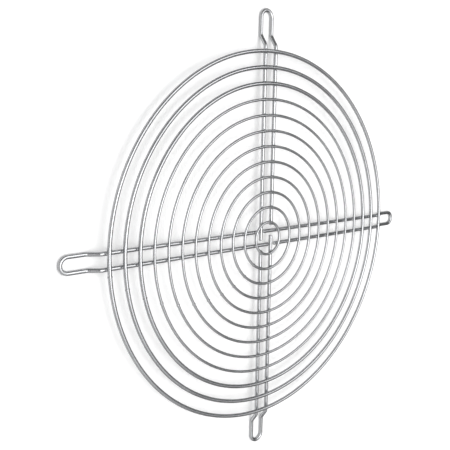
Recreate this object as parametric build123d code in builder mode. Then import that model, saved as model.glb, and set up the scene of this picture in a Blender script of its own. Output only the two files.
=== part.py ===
from build123d import *
import os
from math import radians, tan

# Round wire finger guard for the air side of a fan, in millimetres.
# Twelve concentric rings are welded across the front of four hairpin arms. Each arm is one
# wire: two legs under the rings, joggled back outside them, and closed by a round mounting loop.
# The four loops bear on the fan at z = 0, the fan's axis is Z and the front faces +Z.

# Wire, by diameter
arm_wire = 3.1
heavy_ring_wire = 3.1
light_ring_wire = 2.2
# Drawn wire is round. Eight flats across its diameter keep sixteen long wires light to handle,
# and give each crossing a flat seat.
wire_flats = 8

# Rings, by the circle that the middle of the wire follows
innermost_radius = 13.5
ring_pitch = 12.5
ring_count = 12
heavy_ring_count = 3

# Hairpin arms
arm_angle = 90.0  # from each arm to the next
slot_width = 8.3  # clear width between the legs, for an 8 mm fixing screw
slot_straight = 12.8  # straight run of each leg in the mounting loop
joggle_gap = 1.8  # leg left straight outside the outermost ring
joggle_drop = 5.5
joggle_angle = 35.0
joggle_bend_radius = 4.0  # to the middle of the wire

# Ends of the legs round the fan's axis, where the arms pass one another on one level
upright_overrun = 1.7  # long leg of the top and bottom arms, past the axis
upright_overhang = 3.2  # their short leg, past the middle of the innermost ring's wire
across_end_gap = 1.3  # long leg of the side arms, short of the far upright leg
across_start_gap = 2.3  # their short leg, short of the near upright leg

# Levels of the wires' middles, from the bearing plane up
loop_level = arm_wire / 2
leg_level = loop_level + joggle_drop
leg_top = leg_level + arm_wire / 2

# Places along an arm, from the fan's axis outwards
outermost_radius = innermost_radius + ring_pitch * (ring_count - 1)
leg_side = (slot_width + arm_wire) / 2
bend_tangent = joggle_bend_radius * tan(radians(joggle_angle) / 2)
upper_corner = outermost_radius + heavy_ring_wire / 2 + joggle_gap + bend_tangent
lower_corner = upper_corner + joggle_drop / tan(radians(joggle_angle))
loop_centre = lower_corner + bend_tangent + slot_straight
loop_tip = loop_centre + leg_side

upright_long_end = -upright_overrun
upright_short_end = innermost_radius - upright_overhang
across_long_end = across_end_gap - (leg_side - arm_wire / 2)
across_short_end = leg_side + arm_wire / 2 + across_start_gap

os.makedirs("parts", exist_ok=True)


def wire_section(wire):
    """The wire's cross-section, with flats facing up, down and to both sides."""
    RegularPolygon(wire / 2, wire_flats, major_radius=False, rotation=180 / wire_flats)


# Rings: wire rolled to a circle and butt-welded, lying on the legs
for number in range(1, ring_count + 1):
    ring_radius = innermost_radius + ring_pitch * (number - 1)
    is_heavy = number > ring_count - heavy_ring_count
    ring_wire = heavy_ring_wire if is_heavy else light_ring_wire
    with BuildPart() as ring:
        with BuildSketch(Plane.XZ):
            with Locations((ring_radius, leg_top + ring_wire / 2)):
                wire_section(ring_wire)
        revolve(axis=Axis.Z)
    ring.part.label = f"ring_{number:02d}"
    export_step(ring.part, f"parts/{ring.part.label}.step")

# Arms: each points along its plane's X, with the long leg on its left. The same hand on all four
# makes a pinwheel of the leg ends round the axis.
arms = {
    "arm_right": (across_long_end, across_short_end),
    "arm_top": (upright_long_end, upright_short_end),
    "arm_left": (across_long_end, across_short_end),
    "arm_bottom": (upright_long_end, upright_short_end),
}
for place, (name, (long_end, short_end)) in enumerate(arms.items()):
    with BuildPart() as arm:
        with BuildLine(Plane.XY.rotated((0, 0, arm_angle * place))) as path:
            FilletPolyline(
                (long_end, leg_side, leg_level),
                (upper_corner, leg_side, leg_level),
                (lower_corner, leg_side, loop_level),
                (loop_centre, leg_side, loop_level),
                radius=joggle_bend_radius,
            )
            ThreePointArc(
                (loop_centre, leg_side, loop_level),
                (loop_tip, 0, loop_level),
                (loop_centre, -leg_side, loop_level),
            )
            FilletPolyline(
                (loop_centre, -leg_side, loop_level),
                (lower_corner, -leg_side, loop_level),
                (upper_corner, -leg_side, leg_level),
                (short_end, -leg_side, leg_level),
                radius=joggle_bend_radius,
            )
        wire_line = path.wire()
        with BuildSketch(Plane(wire_line @ 0, x_dir=(0, 0, 1), z_dir=wire_line % 0)):
            wire_section(arm_wire)
        sweep()
    arm.part.label = name
    export_step(arm.part, f"parts/{name}.step")
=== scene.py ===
from math import cos, pi, radians, sin, sqrt, tan

import bmesh
import bpy
from mathutils import Matrix, Vector


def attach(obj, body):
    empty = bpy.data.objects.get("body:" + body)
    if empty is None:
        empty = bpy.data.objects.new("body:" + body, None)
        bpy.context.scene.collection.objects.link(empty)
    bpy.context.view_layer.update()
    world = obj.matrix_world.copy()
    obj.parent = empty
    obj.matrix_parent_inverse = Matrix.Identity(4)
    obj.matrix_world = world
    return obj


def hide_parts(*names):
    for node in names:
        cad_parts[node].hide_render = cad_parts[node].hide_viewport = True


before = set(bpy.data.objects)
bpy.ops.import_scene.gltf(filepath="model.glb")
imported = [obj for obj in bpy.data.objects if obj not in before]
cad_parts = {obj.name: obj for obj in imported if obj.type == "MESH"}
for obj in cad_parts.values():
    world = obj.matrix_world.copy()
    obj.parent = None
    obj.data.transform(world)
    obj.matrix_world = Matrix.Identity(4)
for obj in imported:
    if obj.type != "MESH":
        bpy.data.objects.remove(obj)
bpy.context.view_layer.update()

# Hairpin arms. Each is one 3.1 mm drawn steel wire, cut square, bent to a long U and joggled back
# at the mounting loop, then plated with the rest of the guard. The rings are welded across the
# front of its two legs.
arm_wire = 0.0031
slot_width = 0.0083
slot_straight = 0.0128
joggle_gap = 0.0018
joggle_drop = 0.0055
joggle_angle = radians(35)
joggle_bend_radius = 0.004
cut_edge = 0.00025

# Sizes of the rings, which the arms' length follows from
innermost_radius = 0.0135
ring_pitch = 0.0125
ring_count = 12
heavy_ring_count = 3
heavy_ring_wire = 0.0031
light_ring_wire = 0.0022

# Levels of the wires, and places along an arm from the fan's axis outwards
loop_level = arm_wire / 2
leg_level = loop_level + joggle_drop
leg_top = leg_level + arm_wire / 2
leg_side = (slot_width + arm_wire) / 2
outermost_radius = innermost_radius + ring_pitch * (ring_count - 1)
upper_bend_start = outermost_radius + heavy_ring_wire / 2 + joggle_gap
slope_length = joggle_drop / sin(joggle_angle) - 2 * joggle_bend_radius * tan(joggle_angle / 2)

# Ends of the legs round the axis, where the arms pass one another on one level
upright_overrun = 0.0017  # long leg of the top and bottom arms, past the axis
upright_overhang = 0.0032  # their short leg, past the middle of the innermost ring's wire
across_end_gap = 0.0013  # long leg of the side arms, short of the far upright leg
across_start_gap = 0.0023  # their short leg, short of the near upright leg
upright_ends = (-upright_overrun, innermost_radius - upright_overhang)
across_ends = (across_end_gap - (leg_side - arm_wire / 2), leg_side + arm_wire / 2 + across_start_gap)

# Facets round the wire, along a joggle's bend and round the loop. A straight run starts and ends
# with a short facet, which keeps its shading true.
wire_sides = 24
joggle_bend_steps = 8
loop_steps = 24
end_facet = 0.0005


def linear(hex_colour):
    """The linear colour of an sRGB hex value."""
    shares = [int(hex_colour[i:i + 2], 16) / 255 for i in (1, 3, 5)]
    return tuple(s / 12.92 if s <= 0.04045 else ((s + 0.055) / 1.055) ** 2.4 for s in shares) + (1.0,)


def add_node(tree, kind, settings=None, inputs=None):
    """Adds one shader node, sets its options and its sockets, and links those given as sockets."""
    node = tree.nodes.new(kind)
    for name, value in (settings or {}).items():
        setattr(node, name, value)
    for name, value in (inputs or {}).items():
        if isinstance(value, bpy.types.NodeSocket):
            tree.links.new(value, node.inputs[name])
        else:
            node.inputs[name].default_value = value
    return node


def plated_wire_material():
    """Bright nickel and chrome plate over drawn steel wire.

    It gives a hard grey mirror, slightly clouded, with faint streaks along the wire. The low tint
    dims what the wire mirrors at its edges, which keeps them apart from a white table.
    """
    material = bpy.data.materials.new("bright_plated_steel_wire")
    material.use_nodes = True
    tree = material.node_tree
    tree.nodes.clear()
    place = add_node(tree, "ShaderNodeTexCoord").outputs["Object"]
    section = add_node(tree, "ShaderNodeAttribute", {"attribute_name": "section"}).outputs["Vector"]

    # Lines of the drawing die, about ten to the circumference where real ones are finer, so that
    # they show
    die_lines = add_node(
        tree, "ShaderNodeTexNoise", {"noise_dimensions": "3D"},
        {"Vector": section, "Scale": 3.2, "Detail": 3.0, "Roughness": 0.6},
    ).outputs["Fac"]
    # Cloudy change of the plate over 15 mm or so
    clouds = add_node(
        tree, "ShaderNodeTexNoise", {"noise_dimensions": "3D"},
        {"Vector": place, "Scale": 65.0, "Detail": 2.0, "Roughness": 0.5},
    ).outputs["Fac"]
    tone = add_node(
        tree, "ShaderNodeMix", {"data_type": "RGBA"},
        {"Factor": clouds, "A": linear("#B1B2B4"), "B": linear("#BEBFC1")},
    ).outputs["Result"]
    gloss = add_node(
        tree, "ShaderNodeMapRange", {},
        {"Value": clouds, "From Min": 0.3, "From Max": 0.7, "To Min": 0.18, "To Max": 0.25},
    ).outputs["Result"]
    relief = add_node(
        tree, "ShaderNodeBump", {}, {"Height": die_lines, "Strength": 0.06, "Distance": 0.00004},
    ).outputs["Normal"]
    shader = add_node(
        tree, "ShaderNodeBsdfPrincipled", {},
        {"Base Color": tone, "Metallic": 1.0, "Roughness": gloss, "Normal": relief,
         "Specular Tint": (0.1, 0.1, 0.1, 1.0)},
    )
    add_node(tree, "ShaderNodeOutputMaterial", {}, {"Surface": shader.outputs["BSDF"]})
    return material


plated_wire = plated_wire_material()


def section_layer(mesh):
    """The attribute that holds each vertex's place across its wire, for the streaks along it."""
    layers = mesh.verts.layers.float_vector
    return layers.get("section") or layers.new("section")


def wire_end(mesh, middle, heading, wire):
    """Starts a round wire with its square-cut end and returns the rim."""
    section = section_layer(mesh)
    placed = Matrix.Translation(middle) @ heading.to_track_quat("Z", "X").to_matrix().to_4x4()
    rim = bmesh.ops.create_circle(
        mesh, cap_ends=False, radius=wire / 2, segments=wire_sides, matrix=placed
    )["verts"]
    for vert in rim:
        vert[section] = (vert.co - middle) / (wire / 2)
    return mesh.edges[:]


def feed(mesh, rim, step):
    """Runs the wire straight on and returns its new rim."""
    along = step.normalized()
    for length in (end_facet, step.length - 2 * end_facet, end_facet):
        grown = bmesh.ops.extrude_edge_only(mesh, edges=rim)["geom"]
        verts = [item for item in grown if isinstance(item, bmesh.types.BMVert)]
        edges = [item for item in grown if isinstance(item, bmesh.types.BMEdge)]
        bmesh.ops.translate(mesh, verts=verts, vec=along * length)
        rim = [edge for edge in edges if set(edge.verts) <= set(verts)]
    return rim


def bend(mesh, rim, centre, axis, angle, steps):
    """Bends the wire round a centre and returns its new rim."""
    last = bmesh.ops.spin(
        mesh, geom=rim, cent=centre, axis=axis, dvec=(0, 0, 0), angle=angle, steps=steps, use_merge=False
    )["geom_last"]
    return [item for item in last if isinstance(item, bmesh.types.BMEdge)]


def shade_smooth(mesh):
    """Shades all the faces made so far as one round surface."""
    for face in mesh.faces:
        face.smooth = True


def finish_piece(name, mesh, node=None):
    """Makes the mesh an object of plated wire, which stands for its CAD node where it has one."""
    bmesh.ops.recalc_face_normals(mesh, faces=mesh.faces)
    data = bpy.data.meshes.new(name)
    mesh.to_mesh(data)
    mesh.free()
    data.materials.append(plated_wire)
    piece = bpy.data.objects.new(name, data)
    bpy.context.scene.collection.objects.link(piece)
    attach(piece, "root")
    if node:
        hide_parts(node)


# Each arm is made pointing along X, with its long leg on the left, and then turned to its place
outward = Vector((1, 0, 0))
sideways = Vector((0, 1, 0))
up = Vector((0, 0, 1))
slope = Vector((cos(joggle_angle), 0, -sin(joggle_angle)))
arms = {
    "arm_right": across_ends,
    "arm_top": upright_ends,
    "arm_left": across_ends,
    "arm_bottom": upright_ends,
}
for quarter_turns, (node, (long_end, short_end)) in enumerate(arms.items()):
    mesh = bmesh.new()
    first_rim = wire_end(mesh, Vector((long_end, leg_side, leg_level)), outward, arm_wire)
    rim = feed(mesh, first_rim, outward * (upper_bend_start - long_end))
    place = Vector((upper_bend_start, leg_side, leg_level))

    # Down the joggle to the loop's level
    rim = bend(mesh, rim, place - up * joggle_bend_radius, sideways, joggle_angle, joggle_bend_steps)
    place += joggle_bend_radius * Vector((sin(joggle_angle), 0, cos(joggle_angle) - 1))
    rim = feed(mesh, rim, slope * slope_length)
    place += slope * slope_length
    lower_centre = place + joggle_bend_radius * Vector((sin(joggle_angle), 0, cos(joggle_angle)))
    rim = bend(mesh, rim, lower_centre, sideways, -joggle_angle, joggle_bend_steps)
    place = lower_centre - up * joggle_bend_radius

    # Round the loop
    rim = feed(mesh, rim, outward * slot_straight)
    place += outward * slot_straight
    rim = bend(mesh, rim, place - sideways * leg_side, up, -pi, loop_steps)
    rim = feed(mesh, rim, -outward * slot_straight)

    # Up the joggle again, and in under the rings
    rim = bend(
        mesh, rim, lower_centre - sideways * 2 * leg_side, sideways, joggle_angle, joggle_bend_steps
    )
    rim = feed(mesh, rim, -slope * slope_length)
    upper_centre = Vector((upper_bend_start, -leg_side, leg_level - joggle_bend_radius))
    rim = bend(mesh, rim, upper_centre, sideways, -joggle_angle, joggle_bend_steps)
    rim = feed(mesh, rim, -outward * (upper_bend_start - short_end))

    # Flat cut faces with a slightly rounded edge
    shade_smooth(mesh)
    for edges in (first_rim, rim):
        cap = bmesh.ops.contextual_create(mesh, geom=edges)["faces"][0]
        cap.smooth = False
    bmesh.ops.bevel(
        mesh, geom=first_rim + rim, offset=cut_edge, segments=2, affect="EDGES", profile=0.5, material=-1
    )
    bmesh.ops.rotate(
        mesh, verts=mesh.verts, cent=(0, 0, 0), matrix=Matrix.Rotation(quarter_turns * pi / 2, 3, "Z")
    )
    finish_piece(f"{node}_wire", mesh, node)

# Rings. Twelve lengths of drawn steel wire, each rolled to a circle and butt-welded: the three
# outermost are as heavy as the arms, the rest lighter. They lie on the front of the legs.
small_ring_count = 4
small_ring_steps = 128
large_ring_steps = 192


def ring_size(number):
    """A ring's radius to the middle of its wire, and its wire. Rings count from the innermost."""
    is_heavy = number > ring_count - heavy_ring_count
    return innermost_radius + ring_pitch * (number - 1), heavy_ring_wire if is_heavy else light_ring_wire


for number in range(1, ring_count + 1):
    ring_radius, ring_wire = ring_size(number)
    mesh = bmesh.new()
    rim = wire_end(mesh, Vector((ring_radius, 0, leg_top + ring_wire / 2)), sideways, ring_wire)
    bmesh.ops.spin(
        mesh, geom=rim, cent=(0, 0, leg_top + ring_wire / 2), axis=up, dvec=(0, 0, 0), angle=2 * pi,
        steps=small_ring_steps if number <= small_ring_count else large_ring_steps, use_merge=True,
    )
    shade_smooth(mesh)
    finish_piece(f"ring_{number:02d}_wire", mesh, f"ring_{number:02d}")

# Welds. Each ring is resistance-welded to all eight legs: the wires sink a little into each other,
# and the squeezed steel stands as a small collar round the seat. Plated with the rest.
weld_spread = 0.0006  # how far a collar reaches past the ring's wire, along the leg
weld_half_height = 0.00062
seat_share = 0.62  # how much of the leg's width the two wires share
weld_sides = 10
weld_rows = 6


def add_bead(mesh, placed, half_sizes, wire, sides, rows):
    """Adds a rounded bead of weld steel to the mesh."""
    section = section_layer(mesh)
    bead = bmesh.ops.create_uvsphere(mesh, u_segments=sides, v_segments=rows, radius=1)["verts"]
    bmesh.ops.scale(mesh, verts=bead, vec=half_sizes)
    bmesh.ops.transform(mesh, verts=bead, matrix=placed)
    for vert in bead:
        vert[section] = (vert.co - placed.translation) / (wire / 2)


for quarter_turns, node in enumerate(arms):
    mesh = bmesh.new()
    turn = Matrix.Rotation(quarter_turns * pi / 2, 4, "Z")
    for number in range(1, ring_count + 1):
        ring_radius, ring_wire = ring_size(number)
        reach = sqrt(ring_radius**2 - leg_side**2)
        half_length = ring_wire / 2 + weld_spread
        half_width = arm_wire / 2 * seat_share + weld_spread / 2
        half_sizes = (half_length, half_width, weld_half_height)
        for side in (1, -1):
            placed = turn @ Matrix.Translation((reach, side * leg_side, leg_top))
            add_bead(mesh, placed, half_sizes, ring_wire, weld_sides, weld_rows)
    shade_smooth(mesh)
    finish_piece(f"{node}_welds", mesh)

# Butt welds. The ends of each ring's wire are welded to each other, and the flash is ground flush
# on the faces, so that only a slight swelling is left on the ring's inner and outer side. The
# outermost ring's shows just past the left arm; where the others are is a guess.
first_butt_angle = radians(184)  # on the outermost ring, from the right arm
butt_angle_step = radians(5)
butt_half_length = 0.0015
butt_swelling = 0.0004
butt_sides = 12
butt_rows = 8
mesh = bmesh.new()
for number in range(1, ring_count + 1):
    ring_radius, ring_wire = ring_size(number)
    turn = Matrix.Rotation(first_butt_angle + butt_angle_step * (ring_count - number), 4, "Z")
    placed = turn @ Matrix.Translation((ring_radius, 0, leg_top + ring_wire / 2))
    half_sizes = (ring_wire / 2 + butt_swelling, butt_half_length, ring_wire / 2)
    add_bead(mesh, placed, half_sizes, ring_wire, butt_sides, butt_rows)
shade_smooth(mesh)
finish_piece("ring_butt_welds", mesh)

# Floor. The guard lies on its loops on a white studio table, which keeps its shadows. The camera
# and the plated wire see a little white added to the table near the guard and full white further
# out. Far off that fades again, so that the table has no hard edge in low views.
table_reach = 8.0
added_white = 0.1
shadows_reach = 0.3
white_share_in_shadows = 0.09
full_white_from = 0.8
fade_from = 1.5
fade_to = 7.0
table_mesh = bmesh.new()
bmesh.ops.create_grid(table_mesh, x_segments=1, y_segments=1, size=table_reach)
table_data = bpy.data.meshes.new("studio_floor")
table_mesh.to_mesh(table_data)
table_mesh.free()
floor = bpy.data.objects.new("studio_floor", table_data)
bpy.context.scene.collection.objects.link(floor)


def studio_paper_material():
    """Matte white paper, over-exposed to the camera away from the guard."""
    material = bpy.data.materials.new("white_studio_paper")
    material.use_nodes = True
    tree = material.node_tree
    tree.nodes.clear()
    light_path = add_node(tree, "ShaderNodeLightPath")
    camera_or_mirror = add_node(
        tree, "ShaderNodeMath", {"operation": "MAXIMUM"},
        {0: light_path.outputs["Is Camera Ray"], 1: light_path.outputs["Is Glossy Ray"]},
    ).outputs[0]
    is_seen = add_node(
        tree, "ShaderNodeMath", {"operation": "MAXIMUM"},
        {0: camera_or_mirror, 1: light_path.outputs["Is Transmission Ray"]},
    ).outputs[0]
    place = add_node(tree, "ShaderNodeTexCoord").outputs["Object"]
    distance = add_node(tree, "ShaderNodeVectorMath", {"operation": "LENGTH"}, {0: place}).outputs["Value"]
    rise = add_node(
        tree, "ShaderNodeMapRange", {},
        {"Value": distance, "From Min": shadows_reach, "From Max": full_white_from,
         "To Min": white_share_in_shadows, "To Max": 1.0},
    ).outputs["Result"]
    fade = add_node(
        tree, "ShaderNodeMapRange", {},
        {"Value": distance, "From Min": fade_from, "From Max": fade_to, "To Min": 1.0, "To Max": 0.0},
    ).outputs["Result"]
    white_here = add_node(
        tree, "ShaderNodeMath", {"operation": "MULTIPLY"}, {0: rise, 1: fade}
    ).outputs[0]
    white_share = add_node(
        tree, "ShaderNodeMath", {"operation": "MULTIPLY"}, {0: is_seen, 1: white_here}
    ).outputs[0]
    added_here = add_node(
        tree, "ShaderNodeMath", {"operation": "MULTIPLY"}, {0: is_seen, 1: added_white}
    ).outputs[0]
    paper = add_node(tree, "ShaderNodeBsdfDiffuse", {}, {"Color": linear("#F8F8F8")}).outputs[0]
    added = add_node(tree, "ShaderNodeEmission", {}, {"Strength": added_here}).outputs[0]
    brightened = add_node(tree, "ShaderNodeAddShader", {}, {0: paper, 1: added}).outputs[0]
    white = add_node(tree, "ShaderNodeEmission", {}, {"Strength": 1.0}).outputs[0]
    mixed = add_node(
        tree, "ShaderNodeMixShader", {}, {0: white_share, 1: brightened, 2: white}
    ).outputs[0]
    add_node(tree, "ShaderNodeOutputMaterial", {}, {"Surface": mixed})
    return material


table_data.materials.append(studio_paper_material())

# Studio light. Large soft boxes overhead and round the table, of which the wires mirror one line
# each, a smaller brighter one straight above that draws the shadows under the wires, and a dim room.
room_strength = 0.207
room = bpy.data.worlds.new("studio_room")
bpy.context.scene.world = room
room.use_nodes = True
room_light = room.node_tree.nodes["Background"]
room_light.inputs["Color"].default_value = (1, 1, 1, 1)
room_light.inputs["Strength"].default_value = room_strength


def soft_box(name, place, aim, width, height, radiance):
    """Hangs a rectangular soft box of an even radiance, where 1 is white."""
    lamp = bpy.data.lights.new(name, "AREA")
    lamp.shape = "RECTANGLE"
    lamp.size = width
    lamp.size_y = height
    lamp.energy = radiance * pi * width * height
    holder = bpy.data.objects.new(name, lamp)
    facing = (Vector(aim) - Vector(place)).to_track_quat("-Z", "Y").to_matrix().to_4x4()
    holder.matrix_world = Matrix.Translation(place) @ facing
    bpy.context.scene.collection.objects.link(holder)


soft_box("soft_box_overhead", (-0.05, -0.04, 1.3), (-0.05, -0.04, 0), 1.3, 1.48, 1.46)
soft_box("soft_box_far", (0.85, 0.45, 1.28), (0.85, 0.45, 0), 0.9, 0.7, 2.07)
soft_box("soft_box_right", (0.95, -0.42, 1.3), (0.95, -0.42, 0), 0.7, 0.96, 0.70)
soft_box("soft_box_back", (0.3, 1.0, 1.3), (0.3, 1.0, 0), 2.0, 0.6, 0.99)
soft_box("soft_box_left", (-1.3, 0.0, 0.9), (0, 0.0, 0.9), 2.2, 0.8, 0.99)
soft_box("soft_box_front", (-0.35, -1.2, 1.0), (-0.1, 0, 0.1), 1.6, 1.2, 0.74)
soft_box("soft_box_key", (0, -0.05, 1.28), (0, -0.05, 0), 0.65, 0.65, 3.06)

# Camera. It looks down on the guard from the left, with the place, the turn and the focal length
# that fit the outlines of the rings and arms in the photo.
picture_width = 450  # in pixels, as the focal length is
focal_length = 642.77
camera_place = Vector((-0.370128, 0.098918, 0.385564))
camera_right = Vector((0.76015, 0.015978, 0.649545))
camera_down = Vector((-0.095613, -0.986068, 0.136146))
camera_ahead = Vector((0.642675, -0.16559, -0.748028))
camera_data = bpy.data.cameras.new("camera")
camera_data.sensor_width = 36
camera_data.lens = focal_length / picture_width * camera_data.sensor_width
camera = bpy.data.objects.new("camera", camera_data)
camera_turn = Matrix((camera_right, -camera_down, -camera_ahead)).transposed()
camera.matrix_world = Matrix.Translation(camera_place) @ camera_turn.to_4x4()
bpy.context.scene.collection.objects.link(camera)
bpy.context.scene.camera = camera
bpy.context.scene.view_settings.view_transform = "Standard"
